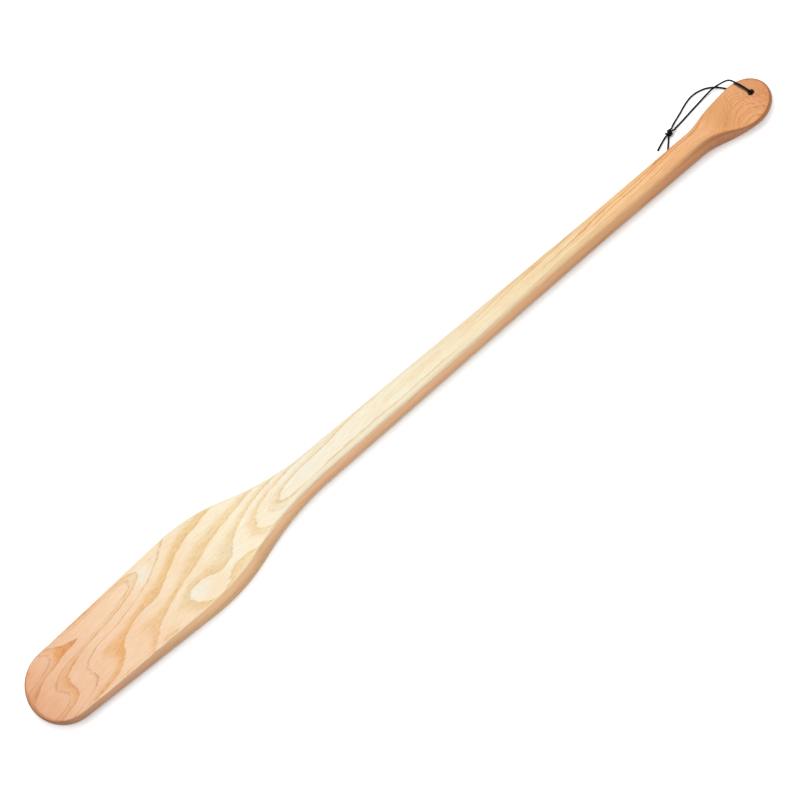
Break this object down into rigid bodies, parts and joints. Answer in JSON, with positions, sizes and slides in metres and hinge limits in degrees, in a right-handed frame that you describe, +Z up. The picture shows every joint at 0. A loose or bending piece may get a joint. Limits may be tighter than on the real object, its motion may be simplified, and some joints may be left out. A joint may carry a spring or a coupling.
{
  "type": "stirring paddle",
  "caption": "Long one-piece wooden stirring paddle with a flat round-ended blade, a slender shaft and a pear-shaped grip pad drilled for a knotted hanging cord.",
  "frame": {"origin": "on the resting surface below the middle of the paddle's length", "axes": "+X from the tip of the blade towards the end of the grip, +Y across the blade, +Z up from the back face"},
  "size_m": [0.914, 0.0969, 0.0254],
  "materials": {
    "ash_wood": "sanded smooth and lightly oiled",
    "black_cord": "waxed"
  },
  "bodies": {
    "board": {"paddle": "ash_wood"},
    "cord_loop": {"cord_front_leg": "black_cord", "cord_back_leg": "black_cord", "cord_knot": "black_cord", "cord_long_tail": "black_cord", "cord_short_tail": "black_cord"}
  },
  "joints": [
    {"name": "cord_swing", "type": "hinge", "parent": "board", "child": "cord_loop", "pos_m": [0.441, 0.003, 0.0102], "axis": [0, 0, 1], "range_deg": [-180, 5]}
  ]
}
